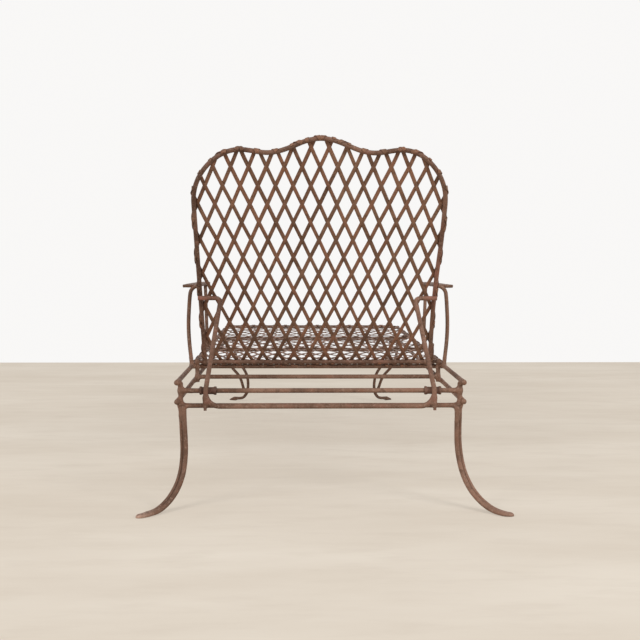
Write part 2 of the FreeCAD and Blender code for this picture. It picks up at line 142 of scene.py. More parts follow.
def aged_iron(name, brown, shade, rust, pale, rust_share, pale_share, gloss, wear_and_highlight=None, wear_and_highlight_colour=None):
    """Weathered bar iron: a brown mottle, lighter to the right and darker forward as painted shade, rust
    mottling, pale rubbed flecks, pits and hammer marks.
    Where a mask is given, its spots turn to the given colour, or to rust: spots worn through, and on the rear
    toes a painted highlight."""
    material = bpy.data.materials.new(name)
    material.use_nodes = True
    material.node_tree.nodes.clear()
    start = Signal(material.node_tree)
    place = start.node("TexCoord", {}, {}, "Object")
    rightward, forward = split(place, "XY")
    patches_and_painted_shade = mottle(place, *PATCHES)
    # Painted shade forward, for the parts under the seat and back; lighter to the right.
    patches_and_painted_shade = patches_and_painted_shade - LIGHTER_RIGHTWARD * rightward + PAINTED_SHADE_FORWARD * forward + PATCH_LEVEL
    blotches = mottle(place, *BLOTCHES)
    flecks = mottle(place, *FLECKS)
    grain = mottle(place, *GRAIN)
    colour = tinted(ramp(patches_and_painted_shade, *SHADED), brown, shade)
    colour = tinted(SPOT_SHARE - SPOT_SHARE * ramp(blotches, *SPOTTED), colour, shade)
    colour = tinted(ramp(blotches, *RUSTED) * rust_share, colour, rust)
    # Spots worn through to another colour, and on the rear toes a painted highlight.
    if wear_and_highlight:
        colour = tinted(wear_and_highlight(place) * ramp(blotches, *WEAR_AND_HIGHLIGHT), colour, wear_and_highlight_colour or rust)
    rubbed = ramp(flecks, *RUBBED)
    colour = tinted(rubbed * pale_share, colour, pale)
    pits = ramp(grain, *PITTED) * ramp(blotches, *PIT_GROUPS)
    colour = tinted(pits * PIT_SHARE, colour, shade)
    rough = 1.0 - gloss + BLOTCHES_ROUGHEN * blotches + PITS_ROUGHEN * pits - RUBBING_POLISHES * rubbed
    height = FLECKS_RISE * flecks + GRAIN_RISES * grain - PITS_SINK * pits
    bump = start.node("Bump", {}, {"Height": height, "Strength": BUMP_STRENGTH, "Distance": BUMP_DEPTH})
    shader = start.node("BsdfPrincipled", {}, {"Base Color": colour, "Roughness": rough, "Metallic": METALLIC,
                                               "Specular IOR Level": SPECULAR, "Normal": bump})
    start.node("OutputMaterial", {}, {"Surface": shader})
    return material


ROD_BROWN = (0.215, 0.120, 0.081, 1)
ROD_SHADE = (0.096, 0.050, 0.031, 1)
ROD_RUST = (0.205, 0.088, 0.052, 1)
ROD_PALE = (0.335, 0.224, 0.170, 1)
# Painted highlight on the rear toe tips: its colour, its spans on the left and right, and the height it
# reaches.
ROD_TOE_HIGHLIGHT = (0.430, 0.275, 0.210, 1)
TOE_HIGHLIGHT_LEFT = (-0.396, -0.368)
TOE_HIGHLIGHT_RIGHT = (0.390, 0.415)
TOE_HIGHLIGHT_RIGHT_SHARE = 0.3
TOE_HIGHLIGHT_HEIGHT = (0.010, 0.016)


def painted_toe_highlights(place):
    """Painted highlight on the rear toe tips, for the light on their flat tops, the left one more than the
    right.
    """
    rightward, height = split(place, "XZ")
    tips = 1.0 - ramp(rightward, *TOE_HIGHLIGHT_LEFT) + TOE_HIGHLIGHT_RIGHT_SHARE * ramp(rightward, *TOE_HIGHLIGHT_RIGHT)
    return tips * (1.0 - ramp(height, *TOE_HIGHLIGHT_HEIGHT))


# The rear toe tips carry a painted highlight.
rod_iron = aged_iron("rod_iron", ROD_BROWN, ROD_SHADE, ROD_RUST, ROD_PALE, rust_share=0.45, pale_share=0.45,
                     gloss=0.50, wear_and_highlight=painted_toe_highlights, wear_and_highlight_colour=ROD_TOE_HIGHLIGHT)


def dress(material, *nodes):
    """Give CAD nodes a finish in place of their plain one."""
    for name in nodes:
        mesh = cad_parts[name].data
        mesh.materials.clear()
        mesh.materials.append(material)


SIDES = (("left", -1), ("right", 1))
dress(rod_iron, "upper_front_rail", "lower_front_rail", "seat_rear_rail", "seat_crossbar_one",
      "seat_crossbar_two", "hinge_crossbar", "rear_upper_crossbar", "rear_lower_crossbar")
for side, sign in SIDES:
    for name in ("upper_side_rail_", "lower_side_rail_", "hinge_post_", "front_leg_inner_rod_",
                 "front_leg_outer_rod_", "arm_rear_upright_", "arm_front_upright_"):
        dress(rod_iron, name + side)


# Rear legs: two rods side by side, bent out in one sweep by hand and hammered
# into a blunt tongue on the ground. The outer rod runs on up as the corner post.
def forged(name, points, faces, material, body):
    """A piece from plain points and faces, smooth-shaded, riding on its CAD body."""
    mesh = bpy.data.meshes.new(name)
    mesh.from_pydata([tuple(p) for p in points], [], faces)
    mesh.validate()
    mesh.materials.append(material)
    for polygon in mesh.polygons:
        polygon.use_smooth = True
    piece = bpy.data.objects.new(name, mesh)
    bpy.context.scene.collection.objects.link(piece)
    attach(piece, body)
    return piece


def skin(rings):
    """Faces over equal rings of points, closed at both ends."""
    count = len(rings[0])
    points = [p for ring in rings for p in ring]
    faces = []
    for i in range(len(rings) - 1):
        for j in range(count):
            k = (j + 1) % count
            faces.append((i * count + j, i * count + k, (i + 1) * count + k, (i + 1) * count + j))
    faces.append(tuple(reversed(range(count))))
    faces.append(tuple(range((len(rings) - 1) * count, len(rings) * count)))
    return points, faces


def eased(value, low, high):
    """0 up to low, 1 from high on, with soft ends."""
    t = min(1.0, max(0.0, (value - low) / (high - low)))
    return t * t * (3 - 2 * t)


LEG_ROD = 0.00525
LOBE_POINTS = 20
LOBE_TURN = math.radians(166)
HINGE_Y = -0.368
REAR_FORWARD = -0.298
REAR_Y = HINGE_Y + REAR_FORWARD
CORNER_X = 0.3194
LEG_MIDDLE_INSET = LEG_ROD / math.sqrt(2)
LEG_TOP_Z = 0.2267
POST_TOP_Z = 0.2818
FOOT_CLEARANCE = 0.004
LEG_AXIS_Z = FOOT_CLEARANCE + LEG_ROD
# Each leg has the bend its maker's hand gave it: the way it goes over the ground, how far out and from what
# height it bends, how tight the hook is, where it sinks to the toe's level, its sideways bow, how far it is
# shifted to the right, where the toe begins and how the toe's tip lies from there.
LEG_BENDS = {
    "left": {"way": Vector((-0.643, -0.766, 0)), "spread": 0.102, "rise": 0.145, "hook": 0.80,
             "sink": (0.030, 0.090), "bow": 0.0031, "shift": 0.0008,
             "end": 0.105, "tip": Vector((-0.0247, -0.0149, 0))},
    "right": {"way": Vector((0.707, -0.707, 0)), "spread": 0.125, "rise": 0.175, "hook": 0.85,
              "sink": (0.045, 0.115), "bow": -0.0010, "shift": 0.0005,
              "end": 0.122, "tip": Vector((0.0245, -0.0060, 0))},
}
LEG_RUN_TOGETHER = 0.052
BOW_BEGINS = (0.0, 0.085)
BOW_ENDS = (0.120, 0.225)
STRAIGHT_STATIONS = 12
BEND_STATIONS = 30
TOE_STATIONS = 24
TOE_CROWDING = 1.6
TOE_HALF_WIDTH = 0.0083
TOE_HALF_THICK = 0.0037
TOE_ROUND = 0.008
TOE_BLUNT = 0.02
TIP_THICKNESS = 0.35
TONGUE_POWER = 2.5
HAMMER_SCALE = 75.0
HAMMER_DEPTH = 0.0004


def leg_stations(bend):
    """Along the leg's middle line to the tip of the toe: distance out, height, turn from straight down."""
    spread, rise, hook = bend["spread"], bend["rise"], bend["hook"]
    straight = LEG_AXIS_Z + rise - LEG_TOP_Z
    stations = [(0.0, LEG_TOP_Z + straight * i / STRAIGHT_STATIONS, 0.0)
                for i in range(STRAIGHT_STATIONS + 1)]
    for i in range(1, BEND_STATIONS):
        quarter = math.pi / 2 * i / BEND_STATIONS
        across, down = math.cos(quarter), math.sin(quarter)
        turn = math.atan2(spread * across ** (hook - 1) * down, rise * down ** (hook - 1) * across)
        stations.append((spread * (1 - across ** hook), LEG_AXIS_Z + rise * (1 - down ** hook), turn))
    toe = bend["end"] + bend["tip"].length - spread
    for i in range(TOE_STATIONS + 1):
        out = spread + toe * (1 - (1 - i / TOE_STATIONS) ** TOE_CROWDING)
        stations.append((out, LEG_AXIS_Z, math.pi / 2))
    return stations


def rounded_tip(left):
    """Share of a toe's full width where this much of its length is left."""
    ended = max(0.0, 1 - left / TOE_ROUND)
    return math.sqrt(max(TOE_BLUNT, 1 - ended * ended))


def leg_ring(base, bend, out, height, turn):
    """Outline round both rods at one station: two lobes with a groove, run together in the toe."""
    way, tip, end = bend["way"], bend["tip"], bend["end"]
    reach = tip.length
    drawn = max(0.0, (out - end) / reach)
    merged = eased(out, end - LEG_RUN_TOGETHER, end)
    round_end = rounded_tip(end + reach - out)
    thick = LEG_ROD + (TOE_HALF_THICK - LEG_ROD) * drawn
    thick *= TIP_THICKNESS + (1 - TIP_THICKNESS) * round_end
    half = (2 * LEG_ROD + (TOE_HALF_WIDTH - 2 * LEG_ROD) * drawn) * round_end
    middle = base + way * out + (tip - way * reach) * drawn ** 2
    middle.x += bend["bow"] * eased(height, *BOW_BEGINS) * (1 - eased(height, *BOW_ENDS))
    middle.z = height + (thick - LEG_AXIS_Z) * eased(out, *bend["sink"])
    onward = way + (tip / reach - way) * drawn
    across = Vector((-onward.y, onward.x, 0)).normalized()
    normal = way * math.cos(turn) + Vector((0, 0, math.sin(turn)))
    ring = []
    for j in range(2 * LOBE_POINTS):
        a = LOBE_TURN * (2 * (j % LOBE_POINTS) / (LOBE_POINTS - 1) - 1)
        rod_side = 1 if j < LOBE_POINTS else -1
        wide = rod_side * (0.5 + 0.5 * math.cos(a))
        lobe = rod_side * math.sin(a)
        tongue = math.copysign((1 - abs(wide) ** TONGUE_POWER) ** (1 / TONGUE_POWER), lobe)
        tall = lobe * (1 - merged) + tongue * merged
        spot = middle + across * (half * wide) + normal * (thick * tall)
        spot += (spot - middle).normalized() * noise.noise(spot * HAMMER_SCALE) * HAMMER_DEPTH
        spot.z = max(0.0, spot.z)
        ring.append(spot)
    return ring


POST_RINGS = 10
POST_POINTS = 24
POST_OVERLAP = 0.02
POST_DENT_SCALE = 60
POST_DENT = 0.0003
post_round = [Vector((math.cos(a), math.sin(a), 0))
              for a in np.linspace(0, 2 * math.pi, POST_POINTS, endpoint=False)]
for side, sign in SIDES:
    bend = LEG_BENDS[side]
    base = Vector((sign * (CORNER_X - LEG_MIDDLE_INSET) + bend["shift"], REAR_Y - LEG_MIDDLE_INSET, 0))
    points, faces = skin([leg_ring(base, bend, *station) for station in leg_stations(bend)])
    post = []
    for i in range(POST_RINGS + 1):
        z = POST_TOP_Z + (LEG_TOP_Z - POST_OVERLAP - POST_TOP_Z) * i / POST_RINGS
        middle = Vector((sign * CORNER_X, REAR_Y, z))
        dents = [noise.noise(r + Vector((0, 0, POST_DENT_SCALE * z))) * POST_DENT for r in post_round]
        post.append([middle + r * (LEG_ROD + dent) for r, dent in zip(post_round, dents)])
    post_points, post_faces = skin(post)
    faces += [tuple(i + len(points) for i in face) for face in post_faces]
    leg = forged("rear_leg_" + side, points + post_points, faces, rod_iron, "frame")
    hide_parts("rear_leg_outer_rod_" + side, "rear_leg_inner_rod_" + side, "rear_foot_" + side)


# Front feet: the inner rod of each front leg, turned out along the ground and
# drawn down to a thin tongue.
FRONT_FORWARD = 1.084
FRONT_Y = HINGE_Y + FRONT_FORWARD
FRONT_TOE_X = 0.302
FRONT_TOE_FORWARD = 0.0424
FRONT_TOE_WAY = Vector((0.861, 0.509, 0))
FRONT_PROUD = 0.0004
FRONT_BEND_RISE = 0.0009
FRONT_BEND_RUN = 0.0186
FRONT_OVERLAP = 0.016
FRONT_MERGED = 0.2
FRONT_TIP = 0.021
FRONT_TIP_HEIGHT = 0.0042
FRONT_TIP_HALF = 0.0066
FRONT_TIP_THICKNESS = 0.4
# Only the right front foot has been pushed in.
FRONT_TUCK = {"left": 0.0, "right": 0.0114}
FRONT_STATIONS = 28
FRONT_POINTS = 28
for side, sign in SIDES:
    way = Vector((sign * FRONT_TOE_WAY.x, FRONT_TOE_WAY.y, 0))
    across = Vector((-way.y, way.x, 0))
    end = Vector((sign * (FRONT_TOE_X - FRONT_TUCK[side]), FRONT_Y + FRONT_TOE_FORWARD, 0))
    rings = []
    for i in range(FRONT_STATIONS + 1):
        out = -FRONT_OVERLAP + (FRONT_OVERLAP + FRONT_TIP) * (1 - (1 - i / FRONT_STATIONS) ** TOE_CROWDING)
        drawn = max(0.0, out / FRONT_TIP)
        merged = eased(out, -FRONT_OVERLAP, -FRONT_MERGED * FRONT_OVERLAP)
        rise = FRONT_BEND_RISE * (out / FRONT_BEND_RUN) ** 2 if out < 0 else 0.0
        top = LEG_AXIS_Z + rise + LEG_ROD + FRONT_PROUD
        top += (FRONT_TIP_HEIGHT - top) * drawn
        low = (LEG_AXIS_Z + rise - LEG_ROD - FRONT_PROUD) * (1 - merged)
        round_end = rounded_tip(FRONT_TIP - out)
        half = (LEG_ROD + FRONT_PROUD + (FRONT_TIP_HALF - LEG_ROD) * drawn) * round_end
        ring = []
        for a in np.linspace(0, 2 * math.pi, FRONT_POINTS, endpoint=False):
            flattened = FRONT_TIP_THICKNESS + (1 - FRONT_TIP_THICKNESS) * round_end
            tall = 0.5 + 0.5 * math.sin(a) * flattened
            level = Vector((0, 0, low + (top - low) * tall))
            ring.append(end + way * out + across * (half * math.cos(a)) + level)
        rings.append(ring)
    points, faces = skin(rings)
    foot = forged("front_toe_" + side, points, faces, rod_iron, "frame")
    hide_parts("front_foot_" + side)


# Arm rests: a length of flat strap with round ends, its edges hammered soft,
# butted on the bent-in rear upright and lying on top of the front one.
STRAP_HALF_WIDTH = 0.019
STRAP_HALF_THICK = 0.00275
STRAP_BELLY = 0.0021
STRAP_HALF_LENGTH = 0.214
STRAP_HALF_RUN = STRAP_HALF_LENGTH - STRAP_HALF_WIDTH
# Round the strap's edge from below: how far in, and how far below or above the middle.
STRAP_EDGE = ((0.0125, -1), (0.0018, -1), (0.0006, -0.75), (0, -0.25), (0, 0.25), (0.0006, 0.75),
              (0.0018, 1), (0.0125, 1))
STRAP_DENT_SCALE = 90.0
STRAP_DENT = 0.0005
ARM_X = 0.334
ARM_FORWARD = 0.189
ARM_TOP_Z = 0.4925
ARM_MIDDLE = Vector((0, HINGE_Y + ARM_FORWARD, ARM_TOP_Z - STRAP_HALF_THICK))
ARM_FALL = math.radians(1.2)
ARM_FLARE = math.radians(0.8)
STRAP_HALF_STEPS = 20
STRAP_END_STEPS = 16
strap_rows = [STRAP_HALF_RUN * (i / STRAP_HALF_STEPS - 1) for i in range(2 * STRAP_HALF_STEPS + 1)]
strap_turn = [math.pi * i / STRAP_END_STEPS for i in range(1, STRAP_END_STEPS)]
strap_outline = ([(1, run, 0) for run in strap_rows]
                 + [(math.cos(a), STRAP_HALF_RUN, math.sin(a)) for a in strap_turn]
                 + [(-1, run, 0) for run in reversed(strap_rows)]
                 + [(-math.cos(a), -STRAP_HALF_RUN, -math.sin(a)) for a in strap_turn])
for side, sign in SIDES:
    long_way = Vector((sign * math.sin(ARM_FLARE), math.cos(ARM_FLARE) * math.cos(ARM_FALL),
                       -math.sin(ARM_FALL)))
    wide_way = Vector((math.cos(ARM_FLARE), -sign * math.sin(ARM_FLARE), 0))
    up_way = wide_way.cross(long_way).normalized()
    middle = ARM_MIDDLE + Vector((sign * ARM_X, 0, 0))
    rings = []
    for inset, level in STRAP_EDGE:
        ring = []
        for wide, run, along in strap_outline:
            radius = STRAP_HALF_WIDTH - inset
            spot = middle + wide_way * (wide * radius) + long_way * (run + along * radius)
            dent = noise.noise(spot * STRAP_DENT_SCALE) * STRAP_DENT
            thick = STRAP_HALF_THICK + dent + (STRAP_BELLY if level < 0 else 0.0)
            ring.append(spot + up_way * (level * thick) + wide_way * (wide * dent))
        rings.append(ring)
    points, faces = skin(rings)
    rest = forged("arm_rest_" + side, points, faces, rod_iron, "frame")
    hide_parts("arm_strap_" + side)


# Welds of the frame: filler run round the bar ends and hammered while hot,
# so the rods flow into each other, with blunt knobs left on the rail ends.
def zero_mesh(field, low, step):
    """Closed mesh where a sampled field crosses zero, one point per crossed cell."""
    inside = field < 0
    cells = [n - 1 for n in field.shape]
    total = np.zeros(cells + [3])
    hits = np.zeros(cells)
    corners = [np.array((i, j, k)) for i in (0, 1) for j in (0, 1) for k in (0, 1)]
    for a in corners:
        for axis in range(3):
            if a[axis]:
                continue
            b = a.copy()
            b[axis] = 1
            here, after = (field[tuple(slice(c[i], c[i] + cells[i]) for i in range(3))] for c in (a, b))
            crossed = (here < 0) != (after < 0)
            share = here[crossed] / (here[crossed] - after[crossed])
            total[crossed] += a + share[:, None] * (b - a)
            hits[crossed] += 1
    used = hits > 0
    index = np.zeros(cells, int)
    index[used] = np.arange(used.sum())
    points = low + (np.argwhere(used) + total[used] / hits[used][:, None]) * step
    faces = []
    for axis in range(3):
        u, v = np.eye(3, dtype=int)[[(axis + 1) % 3, (axis + 2) % 3]]
        starts = np.argwhere(np.diff(inside, axis=axis))
        quads = np.stack([index[tuple((starts - shift).T)] for shift in (0 * u, u, u + v, v)], axis=1)
        outward = inside[tuple(starts.T)]
        faces += quads[outward].tolist() + quads[~outward][:, ::-1].tolist()
    return points, faces


WELD_SWELL = 0.00035
WELD_SINK = 0.0007
WELD_STEP = 0.0014
WELD_MARGIN = 2 * WELD_STEP
WELD_FAR = 1.0
WELD_CORE = 0.6
WELD_DENT_SCALE = 140.0
WELD_DENTS_APART = 37.0
WELD_DENT = 0.0003


def dented(spot):
    """A point of the filler moved a little, unlike its neighbours, as hammering leaves it."""
    shifts = [Vector((0, 0, WELD_DENTS_APART * i)) for i in range(3)]
    return spot + Vector([noise.noise(spot * WELD_DENT_SCALE + shift) for shift in shifts]) * WELD_DENT


def weld(points, faces, rods, centre, reach, blend):
    """Skin of filler over rods near a joint, each a run of bars: it fills the corners between rods and
    sinks into them further out."""
    centre, reach = np.array(centre, float), np.array(reach, float)
    low = centre - reach - WELD_MARGIN
    counts = np.ceil((2 * reach + 2 * WELD_MARGIN) / WELD_STEP).astype(int) + 1
    grid = [low[i] + WELD_STEP * np.arange(counts[i]) for i in range(3)]
    place = np.stack(np.meshgrid(*grid, indexing="ij"), axis=-1)
    field = np.full(place.shape[:3], WELD_FAR)
    for rod in rods:
        away = np.full(place.shape[:3], WELD_FAR)
        for start, end, radius in rod:
            start, run = np.array(start, float), np.array(end, float) - np.array(start, float)
            share = np.clip((place - start) @ run / (run @ run), 0, 1)
            away = np.minimum(away, np.linalg.norm(place - start - share[..., None] * run, axis=-1) - radius)
        mix = np.clip(0.5 + 0.5 * (field - away) / blend, 0, 1)
        field = field * (1 - mix) + away * mix - blend * mix * (1 - mix)
    out = np.linalg.norm((place - centre) / reach, axis=-1)
    sink = np.clip((out - WELD_CORE) / (1 - WELD_CORE), 0, 1)
    field += (WELD_SWELL + WELD_SINK) * sink * sink * (3 - 2 * sink) - WELD_SWELL
    more, quads = zero_mesh(np.maximum(field, (out - 1) * reach.min()), low, WELD_STEP)
    faces += [[i + len(points) for i in quad] for quad in quads]
    points += [dented(Vector(p)) for p in more]


def chain(spots, radius):
    """One rod: bars end to end through a run of points."""
    return [(a, b, radius) for a, b in zip(spots[:-1], spots[1:])]


def bent_line(points, first_way, last_way, per_span=8):
    """Smooth line through points with given end directions, as a bent rod takes it."""
    points = np.array(points, float)
    spans = np.linalg.norm(np.diff(points, axis=0), axis=1)
    chords = np.diff(points, axis=0) / spans[:, None]
    count = len(points)
    matrix = np.eye(count)
    wanted = np.zeros_like(points)
    wanted[0], wanted[-1] = first_way, last_way
    for i in range(1, count - 1):
        matrix[i, i - 1:i + 2] = spans[i], 2 * (spans[i - 1] + spans[i]), spans[i - 1]
        wanted[i] = 3 * (spans[i] * chords[i - 1] + spans[i - 1] * chords[i])
    slopes = np.linalg.solve(matrix, wanted)
    line = []
    for i, span in enumerate(spans):
        for t in np.linspace(0, 1, per_span, endpoint=False):
            line.append((2 * t ** 3 - 3 * t ** 2 + 1) * points[i] + (3 * t ** 2 - 2 * t ** 3) * points[i + 1]
                        + span * ((t ** 3 - 2 * t ** 2 + t) * slopes[i] + (t ** 3 - t ** 2) * slopes[i + 1]))
    line.append(points[-1])
    return line


ROD = 0.0055
ARM_ROD = 0.005
RAIL_X = 0.326
UPPER_Z = 0.287
LOWER_Z = 0.243
HINGE_Z = 0.2945
POST_X = 0.315
POST_ENDS_Z = (LOWER_Z + 0.004, HINGE_Z - 0.012)
RAIL_END = -0.312
KNOB = 0.0062
KNOB_HALF = 0.001
INNER_OFFSET = 0.0074
REAR_CROSSBARS_Z = (0.2665, 0.232)
HINGE_CROSSBAR_Z = 0.2555
REAR_RAIL = (0.010, 0.2815)
SEAT_CROSSBARS = (0.447, 0.800)
SEAT_CROSSBAR_Z = 0.276
ARM_REAR = -0.025
ARM_FRONT = 0.365
ARM_LEANS = ((ARM_REAR, 0.006), (ARM_FRONT, 0.0014))
ARM_LEAN_RISE = 0.0605
ARM_FRONT_TOP = ((0.3302, 0.455), (0.3309, 0.483))
HOOK_Z = 0.4942
HOOK_BEND = 0.020
HOOK_LEAN = math.radians(8)
HOOK_STEPS = 8
STRAP_BARS = (-0.011, -0.004, 0.004, 0.011)
STRAP_REAR = 0.331, (-0.012, HOOK_Z), (0.03, HOOK_Z - 0.0006)
STRAP_FRONT = 0.3365, (0.33, 0.4868), (0.40, 0.4854)
ANKLE_INNER = ((0.2505, 0, 0.104), (0.2465, 0.003, 0.080), (0.2475, 0.007, 0.052), (0.254, 0.013, 0.030),
               (0.267, 0.022, 0.015))
ANKLE_OUTER = ((0.283, 0, 0.106), (0.272, 0.003, 0.083), (0.266, 0.007, 0.060), (0.2598, 0.011, 0.040))
TUCK_TOP_Z = 0.2375
TUCK_DEPTH = 0.228
SHOULDER_RODS = ((0.326, 0.326), (0.300, 0.297))
SHOULDER_LOW_Z = 0.200
SHOULDER_TUCK = 1 / 6
ANKLE_TUCK = 0.85
# How far from a joint its rods are followed.
RAIL_FOLLOWED = 0.06
RAIL_END_FOLLOWED = -0.20
RAIL_FRONT_FOLLOWED = (1.02, 1.098)
LEG_FOLLOWED_Z = 0.17
BAR_FOLLOWED_X = 0.24
SEAT_CROSSBAR_FOLLOWED_X = 0.26
# Each weld's middle, from the hinge line on the left or right, its reach and how widely it fills the corners.
# The welds of the arms' feet and of the seat crossbars are moved forward to each foot and bar.
CORNER_WELD = (0.3205, -0.300, 0.2600), (0.042, 0.042, 0.064), 0.008
POST_WELD = (0.318, 0.003, 0.264), (0.036, 0.034, 0.046), 0.006
STRAP_REAR_WELD = (0.322, -0.019, HOOK_Z - 0.001), (0.027, 0.024, 0.018), 0.005
STRAP_FRONT_WELD = (0.3315, ARM_FRONT, 0.481), (0.020, 0.022, 0.016), 0.005
SHOULDER_WELD = (0.313, FRONT_FORWARD, 0.238), (0.036, 0.028, 0.028), 0.006
ANKLE_WELD = (0.2555, 1.0945, 0.042), (0.020, 0.020, 0.026), 0.005
ARM_FOOT_WELD = (0.327, 0, 0.293), (0.020, 0.022, 0.026), 0.006
CROSSBAR_WELD = (0.324, 0, 0.281), (0.024, 0.022, 0.017), 0.005
frame_welds = []
frame_weld_faces = []
for side, sign in SIDES:
    tuck = FRONT_TUCK[side]

    def at(x, forward, z):
        """A spot on this side: out from the middle, forward of the hinge line, and up."""
        return (sign * x, HINGE_Y + forward, z)

    def fill(rods, middle, reach, blend, forward=0.0, inward=0.0):
        x, y, z = middle
        weld(frame_welds, frame_weld_faces, rods, at(x - inward, y + forward, z), reach, blend)

    def along_rail(forward, z):
        return chain((at(RAIL_X, forward - RAIL_FOLLOWED, z), at(RAIL_X, forward + RAIL_FOLLOWED, z)), ROD)

    def crossbar(x, forward, z):
        return chain((at(x, forward, z), at(BAR_FOLLOWED_X, forward, z)), ROD)

    def strap(x, *ends):
        return [(at(x + off, *ends[0]), at(x + off, *ends[1]), STRAP_HALF_THICK) for off in STRAP_BARS]

    def ankle(spots):
        spots = [at(x - tuck / TUCK_DEPTH * (TUCK_TOP_Z - z), FRONT_FORWARD + y, z) for x, y, z in spots]
        ways = [np.subtract(spots[1], spots[0]), np.subtract(spots[-1], spots[-2])]
        return chain(bent_line(spots, *[way / np.linalg.norm(way) for way in ways]), LEG_ROD)

    outer = CORNER_X, REAR_FORWARD
    inner = CORNER_X - INNER_OFFSET, REAR_FORWARD - INNER_OFFSET
    corner = [chain((at(*outer, UPPER_Z - LEG_ROD), at(*outer, LEG_FOLLOWED_Z)), LEG_ROD),
              chain((at(*inner, LEG_TOP_Z), at(*inner, LEG_FOLLOWED_Z)), LEG_ROD)]
    for z in (UPPER_Z, LOWER_Z):
        knob = at(RAIL_X, RAIL_END - KNOB_HALF, z), at(RAIL_X, RAIL_END + KNOB_HALF, z)
        rail = at(RAIL_X, RAIL_END, z), at(RAIL_X, RAIL_END_FOLLOWED, z)
        corner.append(chain(rail, ROD) + chain(knob, KNOB))
    fill(corner + [crossbar(*outer, z) for z in REAR_CROSSBARS_Z], *CORNER_WELD)

    fill([chain([at(POST_X, 0, z) for z in POST_ENDS_Z], ROD), along_rail(0, UPPER_Z), along_rail(0, LOWER_Z),
          crossbar(POST_X, 0, HINGE_CROSSBAR_Z), crossbar(RAIL_X, *REAR_RAIL)], *POST_WELD)

    for forward, lean in ARM_LEANS:
        upright = at(RAIL_X, forward, UPPER_Z), at(RAIL_X + lean, forward, UPPER_Z + ARM_LEAN_RISE)
        fill([along_rail(forward, UPPER_Z), chain(upright, ARM_ROD)], *ARM_FOOT_WELD, forward=forward)
    # The bent-in top of the rear upright, one round bend.
    hook_corner = Vector((RAIL_X, HOOK_Z))
    hook_ways = Vector((math.sin(HOOK_LEAN), -math.cos(HOOK_LEAN))), Vector((-1, 0))
    half_angle = hook_ways[0].angle(hook_ways[1]) / 2
    inward = (hook_ways[0] + hook_ways[1]).normalized()
    hook_centre = hook_corner + inward * (HOOK_BEND / math.cos(half_angle))
    rays = [hook_corner + way * HOOK_BEND - hook_centre for way in hook_ways]
    hook = [hook_centre + rays[0].slerp(rays[1], i / HOOK_STEPS) for i in range(HOOK_STEPS + 1)]
    fill([chain([at(x, ARM_REAR, z) for x, z in hook], ARM_ROD), strap(*STRAP_REAR)], *STRAP_REAR_WELD)
    fill([chain([at(x, ARM_FRONT, z) for x, z in ARM_FRONT_TOP], ARM_ROD), strap(*STRAP_FRONT)],
         *STRAP_FRONT_WELD)

    for forward in SEAT_CROSSBARS:
        bar = [at(x, forward, SEAT_CROSSBAR_Z) for x in (RAIL_X, SEAT_CROSSBAR_FOLLOWED_X)]
        fill([along_rail(forward, UPPER_Z), chain(bar, ROD)], *CROSSBAR_WELD, forward=forward)

    rods = [chain([at(RAIL_X, forward, LOWER_Z) for forward in RAIL_FRONT_FOLLOWED], ROD),
            crossbar(RAIL_X, FRONT_FORWARD, LOWER_Z)]
    for top_x, low_x in SHOULDER_RODS:
        rods.append(chain((at(top_x, FRONT_FORWARD, LOWER_Z),
                           at(low_x - tuck * SHOULDER_TUCK, FRONT_FORWARD, SHOULDER_LOW_Z)), LEG_ROD))
    fill(rods, *SHOULDER_WELD)
    fill([ankle(ANKLE_INNER), ankle(ANKLE_OUTER)], *ANKLE_WELD, inward=tuck * ANKLE_TUCK)
forged("frame_welds", frame_welds, frame_weld_faces, rod_iron, "frame")


# Seat lattice: two families of flat strip woven over and under each other at
# a steep diamond, each end lifted over its rail and bent down round it.
STRIP_BROWN = (0.192, 0.102, 0.062, 1)
STRIP_SHADE = (0.096, 0.049, 0.029, 1)
STRIP_RUST = (0.225, 0.098, 0.055, 1)
STRIP_PALE = (0.300, 0.190, 0.132, 1)
REDDER_FROM = 0.25
REDDER_SHARE = 0.8


def redder_strips(place):
    """Every strip has weathered a little differently, some of them redder."""
    return ramp(place.node("NewGeometry", {}, {}, "Random Per Island"), REDDER_FROM, 1.0) * REDDER_SHARE


strip_iron = aged_iron("strip_iron", STRIP_BROWN, STRIP_SHADE, STRIP_RUST, STRIP_PALE, rust_share=0.45,
                       pale_share=0.35, gloss=0.60, wear_and_highlight=redder_strips)
STRIP_WIDTH = 0.009
STRIP_THICK = 0.0014
STRIP_EASE = 0.0004
STRIP_UNEVEN = (0.94, 1.06)
SHORTEST_STRIP = 0.045
DIAMOND_ALONG = 0.0947
STRIP_ROWS = range(-16, 30)
WEAVE_LIFT = 0.00075
WEAVE_FADE = 0.008
WRAP_GAP = 0.0001
WRAP_RADIUS = ROD + STRIP_THICK / 2 + WRAP_GAP
SECOND_WRAP = 0.0004
WRAP_START = math.radians(110)
WRAP_ENDS = (-95, -30)
STRAIGHT_STEP = 0.010
WRAP_STEP = math.radians(12)
PRESSED_END = math.radians(-35)
LEAST_STEEP = 0.3
FEWEST_TURNS = 3
STRIP_SEED = 11
RodEdge = namedtuple("RodEdge", "points runs wrap_ends pressed")
Meeting = namedtuple("Meeting", "along edge run")


def edge_line(points, wrap_ends=WRAP_ENDS, pressed=(0.0, 0.0), step=0.003):
    """Evenly spaced points along an open run of rod, the run's length at each, the angles between which
    wrapped strips end, and a stretch where something bears on the rod from behind and they end sooner."""
    points = np.array(points, float)
    run = np.concatenate([[0], np.cumsum(np.linalg.norm(np.diff(points, axis=0), axis=1))])
    spaced = np.linspace(0, run[-1], max(2, int(run[-1] / step)))
    spots = np.stack([np.interp(spaced, run, points[:, i]) for i in range(3)], axis=1)
    return RodEdge(spots, spaced, wrap_ends, pressed)


